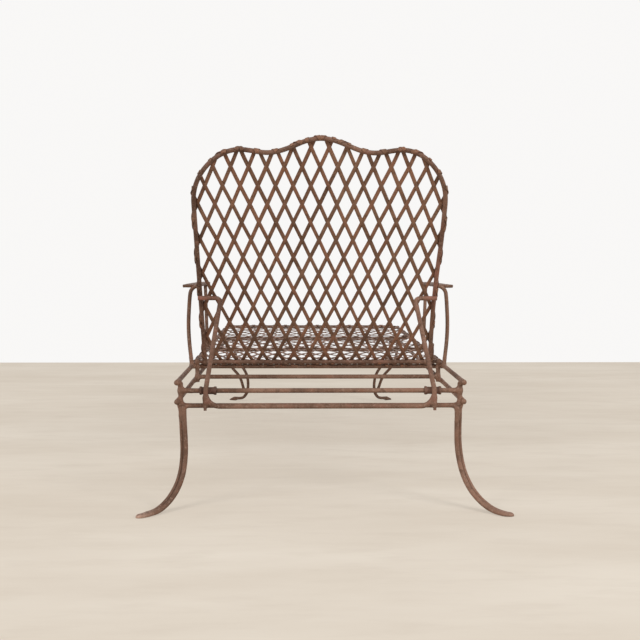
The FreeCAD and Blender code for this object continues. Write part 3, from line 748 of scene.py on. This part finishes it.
def edge_at(edge, run):
    """Centre, direction and outward direction of a rod at a length along it."""
    run = min(max(run, 0.0), edge.runs[-1])
    near = min(max(int(np.searchsorted(edge.runs, run)), 1), len(edge.runs) - 1)
    centre = np.array([np.interp(run, edge.runs, edge.points[:, i]) for i in range(3)])
    way = edge.points[near] - edge.points[near - 1]
    way = way / np.linalg.norm(way)
    return centre, way, np.array([way[1], -way[0], 0.0])


def meetings(edges, start, way):
    """Where a strip's line crosses the rods: distance along the strip, rod, length along the rod."""
    across = np.array([-way[1], way[0]])
    found = []
    for edge in edges:
        points, runs = edge.points, edge.runs
        off = (points[:, :2] - start) @ across
        for i in np.nonzero(off[:-1] * off[1:] <= 0)[0]:
            share = off[i] / (off[i] - off[i + 1]) if off[i] != off[i + 1] else 0.0
            spot = points[i, :2] + (points[i + 1, :2] - points[i, :2]) * share
            run = runs[i] + (runs[i + 1] - runs[i]) * share
            found.append(Meeting(float((spot - start) @ way), edge, float(run)))
    return sorted(found, key=lambda meeting: meeting.along)


def wrapped_end(meeting, way, last_angle, radius):
    """The bent end of a strip: how squarely it meets its rod, and its turns round the rod."""
    edge, run = meeting.edge, meeting.run
    centre, rod_way, outward = edge_at(edge, run)
    flat = np.array([way[0], way[1], 0.0])
    steep = max(LEAST_STEEP, abs(float(flat @ outward)))
    slide = float(flat @ rod_way) / steep
    begin = run - slide * radius * math.cos(math.pi - WRAP_START)
    if edge.pressed[0] < begin + slide * radius * (WRAP_START - last_angle) < edge.pressed[1]:
        last_angle = max(last_angle, PRESSED_END)
    path = []
    turns = max(FEWEST_TURNS, int((WRAP_START - last_angle) / WRAP_STEP))
    for i in range(turns + 1):
        angle = WRAP_START + (last_angle - WRAP_START) * i / turns
        centre, rod_way, outward = edge_at(edge, begin + slide * radius * (WRAP_START - angle))
        radial = outward * math.cos(angle) + np.array([0, 0, math.sin(angle)])
        path.append((centre + radial * radius, radial))
    return steep, path


def strip_path(first, last, start, way, weave, chance, radius):
    """Centre line of one woven strip and the way its face looks, bent round a rod at each end."""
    ends = []
    for meeting, leaving in ((first, -1), (last, 1)):
        last_angle = math.radians(chance.uniform(*meeting.edge.wrap_ends))
        ends.append(wrapped_end(meeting, way * leaving, last_angle, radius))
    (first_steep, first_turns), (last_steep, last_turns) = ends
    drop = radius * math.cos(math.pi - WRAP_START)
    height = radius * math.sin(WRAP_START)
    slope = math.tan(WRAP_START - math.pi / 2)
    lead = 2 * height / slope
    begin = first.along + drop / first_steep
    end = last.along - drop / last_steep
    steps = max(2, int((end - begin) / STRAIGHT_STEP))
    path = list(reversed(first_turns))
    for i in range(1, steps):
        along = begin + (end - begin) * i / steps
        spot = start + way * along
        lift = 0.0
        fade = 1.0
        for meeting, steep in ((first, first_steep), (last, last_steep)):
            away = abs(along - meeting.along) * steep
            share = max(0.0, 1 - (away - drop) / lead)
            rod_centre = edge_at(meeting.edge, meeting.run)[0]
            lift += (height + rod_centre[2]) * share * share
            fade *= min(1.0, max(0.0, (away - drop) / WEAVE_FADE))
        lift += fade * weave(spot[0])
        path.append((np.array([spot[0], spot[1], lift]), np.array([0.0, 0.0, 1.0])))
    return path + last_turns


def strip_band(path, width, to_world):
    """Rings of a flat band with eased edges along a path."""
    half, thick, ease = width / 2, STRIP_THICK / 2, STRIP_EASE
    section = ((-half, -thick + ease), (-half, thick - ease), (-half + ease, thick), (half - ease, thick),
               (half, thick - ease), (half, -thick + ease), (half - ease, -thick), (-half + ease, -thick))
    centres = np.array([p for p, n in path])
    ways = np.gradient(centres, axis=0)
    rings = []
    for (centre, face), way in zip(path, ways):
        way = way / np.linalg.norm(way)
        side_way = np.cross(way, face)
        side_way = side_way / np.linalg.norm(side_way)
        normal = np.cross(side_way, way)
        rings.append([to_world @ Vector(centre + side_way * a + normal * b) for a, b in section])
    return rings


def lattice(edges, middle, across, sense, to_world, chance):
    """One family of parallel strips across an opening, as one piece; middle is where two of them cross."""
    way = np.array([sense * across, DIAMOND_ALONG])
    way = way / np.linalg.norm(way)
    points, faces = [], []

    def weave(x):
        return sense * WEAVE_LIFT * math.cos(2 * math.pi * (x - middle[0]) / across)

    radius = WRAP_RADIUS if sense > 0 else WRAP_RADIUS + SECOND_WRAP
    for k in STRIP_ROWS:
        start = np.array([middle[0], middle[1] + k * DIAMOND_ALONG])
        found = meetings(edges, start, way)
        if len(found) < 2 or found[-1].along - found[0].along < SHORTEST_STRIP:
            continue
        path = strip_path(found[0], found[-1], start, way, weave, chance, radius)
        band = strip_band(path, STRIP_WIDTH * chance.uniform(*STRIP_UNEVEN), to_world)
        more, rings = skin(band)
        faces += [tuple(i + len(points) for i in face) for face in rings]
        points += more
    return points, faces


def corner_arc(x, y, radius, from_angle, to_angle, count=10):
    """Points round a bend of a rod about x, y, by angles in degrees."""
    angles = [math.radians(from_angle + (to_angle - from_angle) * i / count) for i in range(count + 1)]
    return [(x + radius * math.cos(a), y + radius * math.sin(a), 0.0) for a in angles]


SEAT_ACROSS = 0.0411
SEAT_CROSSING = (0.0, 0.040)
SEAT_LENGTH = 1.130
FRONT_CORNER = 0.050
SEAT_REAR_WRAP = (0, 35)
corner_x, corner_y = RAIL_X - FRONT_CORNER, SEAT_LENGTH - FRONT_CORNER
seat_rim = edge_line([(RAIL_X, REAR_RAIL[0], 0)]
                     + corner_arc(corner_x, corner_y, FRONT_CORNER, 0, 90)
                     + corner_arc(-corner_x, corner_y, FRONT_CORNER, 90, 180)
                     + [(-RAIL_X, REAR_RAIL[0], 0)])
rear_rail_drop = REAR_RAIL[1] - UPPER_Z
seat_back_rail = edge_line([(-RAIL_X, REAR_RAIL[0], rear_rail_drop), (RAIL_X, REAR_RAIL[0], rear_rail_drop)],
                           wrap_ends=SEAT_REAR_WRAP)
seat_place = Matrix.Translation((0, HINGE_Y, UPPER_Z))
strip_chance = random.Random(STRIP_SEED)
for family, sense in (("rising", 1), ("falling", -1)):
    points, faces = lattice((seat_rim, seat_back_rail), SEAT_CROSSING, SEAT_ACROSS, sense,
                            seat_place, strip_chance)
    weave = forged("seat_weave_" + family, points, faces, strip_iron, "frame")
    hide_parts("seat_strips_" + family)


# Back panel: one rod bent into two shoulders and a low crest, closed by a
# bottom rail, with a stub pin welded on each side to turn in the hinge posts.
RIM_BROWN = (0.180, 0.099, 0.066, 1)
RIM_SHADE = (0.080, 0.041, 0.026, 1)
RIM_RUST = (0.215, 0.095, 0.066, 1)
RIM_PALE = (0.310, 0.205, 0.158, 1)
WORN_BROWN = (0.205, 0.113, 0.076, 1)
WORN_SHADE = (0.092, 0.047, 0.029, 1)
WORN_RUST = (0.235, 0.098, 0.070, 1)
WORN_PALE = (0.340, 0.228, 0.175, 1)
RED_STILE_X = (0.20, 0.28)
RED_STILE_FROM_Z = (0.430, 0.455)
RED_STILE_TO_Z = (0.54, 0.64)
RED_STUB_X = (0.258, 0.280)
RED_STUB_Z = (0.448, 0.462)


def red_side(place):
    """The right-hand stile about the bail's top, where the brown has worn through to red."""
    rightward, height = split(place, "XZ")
    band = ramp(height, *RED_STILE_FROM_Z) * (1.0 - ramp(height, *RED_STILE_TO_Z))
    return ramp(rightward, *RED_STILE_X) * band


def red_top(place):
    """The outer ends of the bail's outturned tops, rubbed by the back."""
    sideways, height = split(place, "XZ")
    outward = sideways.node("Math", {"operation": "ABSOLUTE"}, {0: sideways})
    return ramp(height, *RED_STUB_Z) * ramp(outward, *RED_STUB_X)


rim_iron = aged_iron("rim_iron", RIM_BROWN, RIM_SHADE, RIM_RUST, RIM_PALE, rust_share=0.50, pale_share=0.40,
                     gloss=0.50, wear_and_highlight=red_side)
worn_iron = aged_iron("worn_iron", WORN_BROWN, WORN_SHADE, WORN_RUST, WORN_PALE, rust_share=0.40,
                      pale_share=0.45, gloss=0.50, wear_and_highlight=red_top)
dress(rim_iron, "back_rim", "back_bottom_rail")
dress(worn_iron, "hinge_pin_left", "hinge_pin_right")
RECLINE = math.radians(29.6)
STILE_X = 0.2945
STILE_FOLLOWED = 0.06
BOTTOM_FOLLOWED_X = 0.22
PIN = 0.004
PIN_END_X = 0.304
BACK_WELD_REACH = (0.020, 0.022, 0.022)
BACK_WELD_BLEND = 0.005
back_welds = []
back_weld_faces = []
up_back = Vector((0, -math.sin(RECLINE), math.cos(RECLINE)))
for side, sign in SIDES:
    joint = Vector((sign * STILE_X, HINGE_Y, HINGE_Z))
    rods = [chain((joint, joint + up_back * STILE_FOLLOWED), ROD),
            chain((joint, Vector((sign * BOTTOM_FOLLOWED_X, HINGE_Y, HINGE_Z))), ROD),
            chain((joint, Vector((sign * PIN_END_X, HINGE_Y, HINGE_Z))), PIN)]
    weld(back_welds, back_weld_faces, rods, joint, BACK_WELD_REACH, BACK_WELD_BLEND)
forged("back_welds", back_welds, back_weld_faces, rim_iron, "back")


# Back lattice: the same woven strip, its ends passed over the front of the
# rim and turned round it, so the rim's outer edge is ridged all the way round.
BACK_ACROSS = 0.04055
BACK_CROSSING = (0.0023, 0.079)
LEFT_HALF = ((STILE_X, 0.440), (0.2933, 0.478), (0.2835, 0.515), (0.263, 0.549), (0.229, 0.580),
             (0.187, 0.5943), (0.148, 0.5898), (0.114, 0.5872), (0.076, 0.5975), (0.037, 0.614), (0, 0.6215))
RIGHT_HALF = ((-0.037, 0.614), (-0.076, 0.5975), (-0.114, 0.5872), (-0.148, 0.5898), (-0.187, 0.5943),
              (-0.229, 0.580), (-0.2615, 0.549), (-0.281, 0.515), (-0.2905, 0.478), (-0.2918, 0.440),
              (-0.291, 0.350), (-0.2883, 0.275), (-0.2876, 0.205), (-0.288, 0.135), (-0.2896, 0.085),
              (-0.2926, 0.040), (-STILE_X, 0.012))
crest = bent_line(LEFT_HALF + RIGHT_HALF, (0, 1), (0, -1))
BAIL_BEARS = (0.185, 0.225)
back_rim = edge_line([(STILE_X, 0, 0)] + [(x, y, 0) for x, y in crest] + [(-STILE_X, 0, 0)],
                     pressed=BAIL_BEARS)
back_bottom = edge_line([(-STILE_X, 0, 0), (STILE_X, 0, 0)])
front_way = Vector((0, math.cos(RECLINE), math.sin(RECLINE)))
back_place = Matrix(((-1, 0, 0, 0), (0, up_back.y, front_way.y, HINGE_Y),
                     (0, up_back.z, front_way.z, HINGE_Z), (0, 0, 0, 1)))
for family, sense in (("rising", -1), ("falling", 1)):
    points, faces = lattice((back_rim, back_bottom), BACK_CROSSING, BACK_ACROSS, sense,
                            back_place, strip_chance)
    weave = forged("back_weave_" + family, points, faces, strip_iron, "back")
    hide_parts("back_strips_" + family)


# Prop bail: two struts with outturned tops that carry the back, a bottom bar
# swept up into them at both ends, and collars that turn on the rear crossbar.
dress(worn_iron, "bail_bottom_bar", "bail_strut_left", "bail_strut_right")
PIVOT_Z, BAIL_LOW_Z = REAR_CROSSBARS_Z
BAIL_LOW_X = {"left": 0.2605, "right": 0.258}
CURL = 0.033
CURL_TURN = math.radians(55)
CURL_TAIL = 0.007
CURL_STEPS = 6
BAR_FOLLOWED = 0.05
BAR_BEHIND = 0.0113
BAR_Y = REAR_Y - BAR_BEHIND
STRUT_BEHIND = 0.0137
STRUT_Y = REAR_Y - STRUT_BEHIND
STRUT_OUT = {PIVOT_Z: 0.0006, BAIL_LOW_Z: 0.0020}
BAIL_WELD_INSET = 0.010
BAIL_WELD_BEHIND = 0.001
BAIL_WELD_Z = 0.243
BAIL_WELD_REACH = (0.040, 0.020, 0.026)
BAIL_WELD_BLEND = 0.007
bail_welds = []
bail_weld_faces = []
for side, sign in SIDES:
    low_x = BAIL_LOW_X[side]
    flat_x = low_x - CURL * math.sin(CURL_TURN) - CURL_TAIL * math.cos(CURL_TURN)
    sweep = [(sign * (flat_x - BAR_FOLLOWED), BAR_Y, BAIL_LOW_Z)]
    for i in range(CURL_STEPS + 1):
        a = CURL_TURN * i / CURL_STEPS
        sweep.append((sign * (flat_x + CURL * math.sin(a)), BAR_Y, BAIL_LOW_Z + CURL * (1 - math.cos(a))))
    sweep.append((sign * low_x, BAR_Y, sweep[-1][2] + CURL_TAIL * math.sin(CURL_TURN)))
    strut = [(sign * (low_x + out), STRUT_Y, z) for z, out in STRUT_OUT.items()]
    middle = (sign * (low_x - BAIL_WELD_INSET), BAR_Y - BAIL_WELD_BEHIND, BAIL_WELD_Z)
    weld(bail_welds, bail_weld_faces, [chain(sweep, ROD), chain(strut, ROD)], middle,
         BAIL_WELD_REACH, BAIL_WELD_BLEND)
forged("bail_welds", bail_welds, bail_weld_faces, worn_iron, "prop_bail")
COLLAR_BROWN = (0.132, 0.070, 0.049, 1)
COLLAR_SHADE = (0.068, 0.036, 0.025, 1)
COLLAR_RUST = (0.160, 0.066, 0.044, 1)
COLLAR_PALE = (0.250, 0.155, 0.116, 1)
collar_iron = aged_iron("collar_iron", COLLAR_BROWN, COLLAR_SHADE, COLLAR_RUST, COLLAR_PALE, rust_share=0.50,
                        pale_share=0.35, gloss=0.45)
COLLAR_BORE = 0.0056
COLLAR_RADIUS = 0.0082
COLLAR_LIP = ((0.0090, COLLAR_RADIUS), (0.0122, 0.0084), (0.0138, 0.0093), (0.0158, 0.0098), (0.0182, 0.0096),
              (0.0192, 0.0088), (0.0190, COLLAR_BORE))
COLLAR_PROFILE = [(-along, radius) for along, radius in reversed(COLLAR_LIP)]
COLLAR_PROFILE += [(0.0, COLLAR_RADIUS), *COLLAR_LIP]
COLLAR_DENT_SCALE = 150.0
COLLAR_DENT = 0.0007
COLLAR_SLIP = {"left": 0.0035, "right": -0.0010}
COLLAR_RING = 28
for side, sign in SIDES:
    node = "pivot_sleeve_" + side
    low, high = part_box(node)
    middle = (low + high) / 2 + Vector((COLLAR_SLIP[side], 0, 0))
    points = []
    for along, radius in COLLAR_PROFILE:
        for j in range(COLLAR_RING):
            a = 2 * math.pi * j / COLLAR_RING
            spot = middle + Vector((along, radius * math.cos(a), radius * math.sin(a)))
            if radius > COLLAR_BORE:
                dent = noise.noise(spot * COLLAR_DENT_SCALE) * COLLAR_DENT
                spot += (spot - middle).normalized() * dent
            points.append(spot)
    faces = []
    for i in range(len(COLLAR_PROFILE)):
        here = i * COLLAR_RING
        after = (i + 1) % len(COLLAR_PROFILE) * COLLAR_RING
        for j in range(COLLAR_RING):
            k = (j + 1) % COLLAR_RING
            faces.append((here + j, here + k, after + k, after + j))
    collar = forged("pivot_collar_" + side, points, faces, collar_iron, "prop_bail")
    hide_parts(node)


# Floor: a pale, faintly clouded studio floor that takes the soft shadow and
# ends behind the object, where the pale backdrop begins.
FLOOR_DARK = (0.655, 0.580, 0.490, 1)
FLOOR_PALE = (0.725, 0.655, 0.565, 1)
FLOOR_SCUFF = (0.600, 0.525, 0.440, 1)
FLOOR_STRETCH = (0.55, 2.2, 1.0)
FLOOR_CLOUDS = (1.5, 6.0, 0.62)
FLOOR_CLOUDED = (0.35, 0.65)
FLOOR_SCUFFS = (9.0, 4.0, 0.6)
FLOOR_SCUFFED = (0.50, 0.72)
FLOOR_SCUFF_SHARE = 0.35
FLOOR_ROUGHNESS = 0.8
FLOOR_SPECULAR = 0.2
FLOOR_SHOWN = 1.10
FLOOR_SHOWN_SHARE = 0.60
FLOOR_HALF = 6.0
FLOOR_FAR = 2.28
VIEW_RAYS = ("Is Camera Ray", "Is Glossy Ray", "Is Transmission Ray")


def rays_seen(tree):
    """1 where the surface is seen directly, mirrored or through glass, and 0 where it only gives light."""
    direct, mirrored, through = (tree.node("LightPath", {}, {}, kind) for kind in VIEW_RAYS)
    return direct + mirrored + through


floor_material = bpy.data.materials.new("pale_floor")
floor_material.use_nodes = True
floor_material.node_tree.nodes.clear()
ground = Signal(floor_material.node_tree)
ground_place = ground.node("TexCoord", {}, {}, "Object")
stretched = ground.node("Mapping", {}, {"Vector": ground_place, "Scale": FLOOR_STRETCH})
clouds = mottle(stretched, *FLOOR_CLOUDS)
scuffs = mottle(stretched, *FLOOR_SCUFFS)
ground_colour = tinted(ramp(clouds, *FLOOR_CLOUDED), FLOOR_DARK, FLOOR_PALE)
ground_colour = tinted(ramp(scuffs, *FLOOR_SCUFFED) * FLOOR_SCUFF_SHARE, ground_colour, FLOOR_SCUFF)
ground_lit = ground.node("BsdfPrincipled", {}, {"Base Color": ground_colour, "Roughness": FLOOR_ROUGHNESS,
                                               "Specular IOR Level": FLOOR_SPECULAR})
ground_shown = ground.node("Emission", {}, {"Color": ground_colour, "Strength": FLOOR_SHOWN})
ground_shader = ground.node("MixShader", {}, {0: rays_seen(ground) * FLOOR_SHOWN_SHARE, 1: ground_lit,
                                              2: ground_shown})
ground.node("OutputMaterial", {}, {"Surface": ground_shader})
floor_far_y = HINGE_Y + FLOOR_FAR
floor_mesh = bpy.data.meshes.new("floor")
floor_mesh.from_pydata([(-FLOOR_HALF, -FLOOR_HALF, 0), (FLOOR_HALF, -FLOOR_HALF, 0),
                        (FLOOR_HALF, floor_far_y, 0), (-FLOOR_HALF, floor_far_y, 0)], [], [(0, 1, 2, 3)])
floor_mesh.materials.append(floor_material)
floor = bpy.data.objects.new("floor", floor_mesh)
bpy.context.scene.collection.objects.link(floor)


# Light: an even sky with a pale backdrop in it, a broad soft lamp overhead
# and a large soft lamp on each side, behind the camera.
SKY_LIGHT = (1.0, 0.985, 0.965, 1)
SKY_LIGHT_STRENGTH = 0.42
BACKDROP = (0.945, 0.935, 0.925, 1)
LAMPS_AIM = Vector((0, -0.3, 0.2))
# Each lamp's name, place, width and power.
LAMPS = (("overhead", (-0.4, -0.9, 3.6), 3.0, 10.0),
         ("right_softbox", (5.0, -4.6, 3.6), 2.6, 330.0),
         ("left_softbox", (-5.2, -4.6, 3.6), 2.6, 300.0))
world = bpy.data.worlds.new("sky")
bpy.context.scene.world = world
world.use_nodes = True
world.node_tree.nodes.clear()
sky = Signal(world.node_tree)
lit = sky.node("Background", {}, {"Color": SKY_LIGHT, "Strength": SKY_LIGHT_STRENGTH})
shown = sky.node("Background", {}, {"Color": BACKDROP, "Strength": 1.0})
sky_mix = sky.node("MixShader", {}, {0: rays_seen(sky), 1: lit, 2: shown})
sky.node("OutputWorld", {}, {"Surface": sky_mix})
for name, place, width, power in LAMPS:
    light = bpy.data.lights.new(name, "AREA")
    light.size = width
    light.energy = power
    lamp = bpy.data.objects.new(name, light)
    lamp.location = place
    lamp.rotation_mode = "QUATERNION"
    lamp.rotation_quaternion = (LAMPS_AIM - Vector(place)).to_track_quat("-Z", "Y")
    bpy.context.scene.collection.objects.link(lamp)


# Camera: behind the chaise and a little to the left of its middle, a hand's
# breadth above the arms, looking along the seat and slightly down.
CAMERA_BEHIND = 2.337
CAMERA_AT = Vector((-0.0476, HINGE_Y - CAMERA_BEHIND, 0.5933))
CAMERA_YAW = math.radians(1.281)
CAMERA_PITCH = math.radians(4.626)
CAMERA_ROLL = math.radians(0.124)
SENSOR_MM = 36.0
LENS_MM = 50.625
look = Vector((math.sin(CAMERA_YAW) * math.cos(CAMERA_PITCH), math.cos(CAMERA_YAW) * math.cos(CAMERA_PITCH),
               -math.sin(CAMERA_PITCH)))
level = Vector((math.cos(CAMERA_YAW), -math.sin(CAMERA_YAW), 0))
upright = level.cross(look)
right = level * math.cos(CAMERA_ROLL) + upright * math.sin(CAMERA_ROLL)
top = upright * math.cos(CAMERA_ROLL) - level * math.sin(CAMERA_ROLL)
camera_data = bpy.data.cameras.new("camera")
camera_data.sensor_width = SENSOR_MM
camera_data.lens = LENS_MM
camera = bpy.data.objects.new("camera", camera_data)
turn = Matrix((right, top, -look)).transposed().to_4x4()
camera.matrix_world = Matrix.Translation(CAMERA_AT) @ turn
bpy.context.scene.collection.objects.link(camera)
bpy.context.scene.camera = camera
bpy.context.scene.view_settings.view_transform = "Standard"
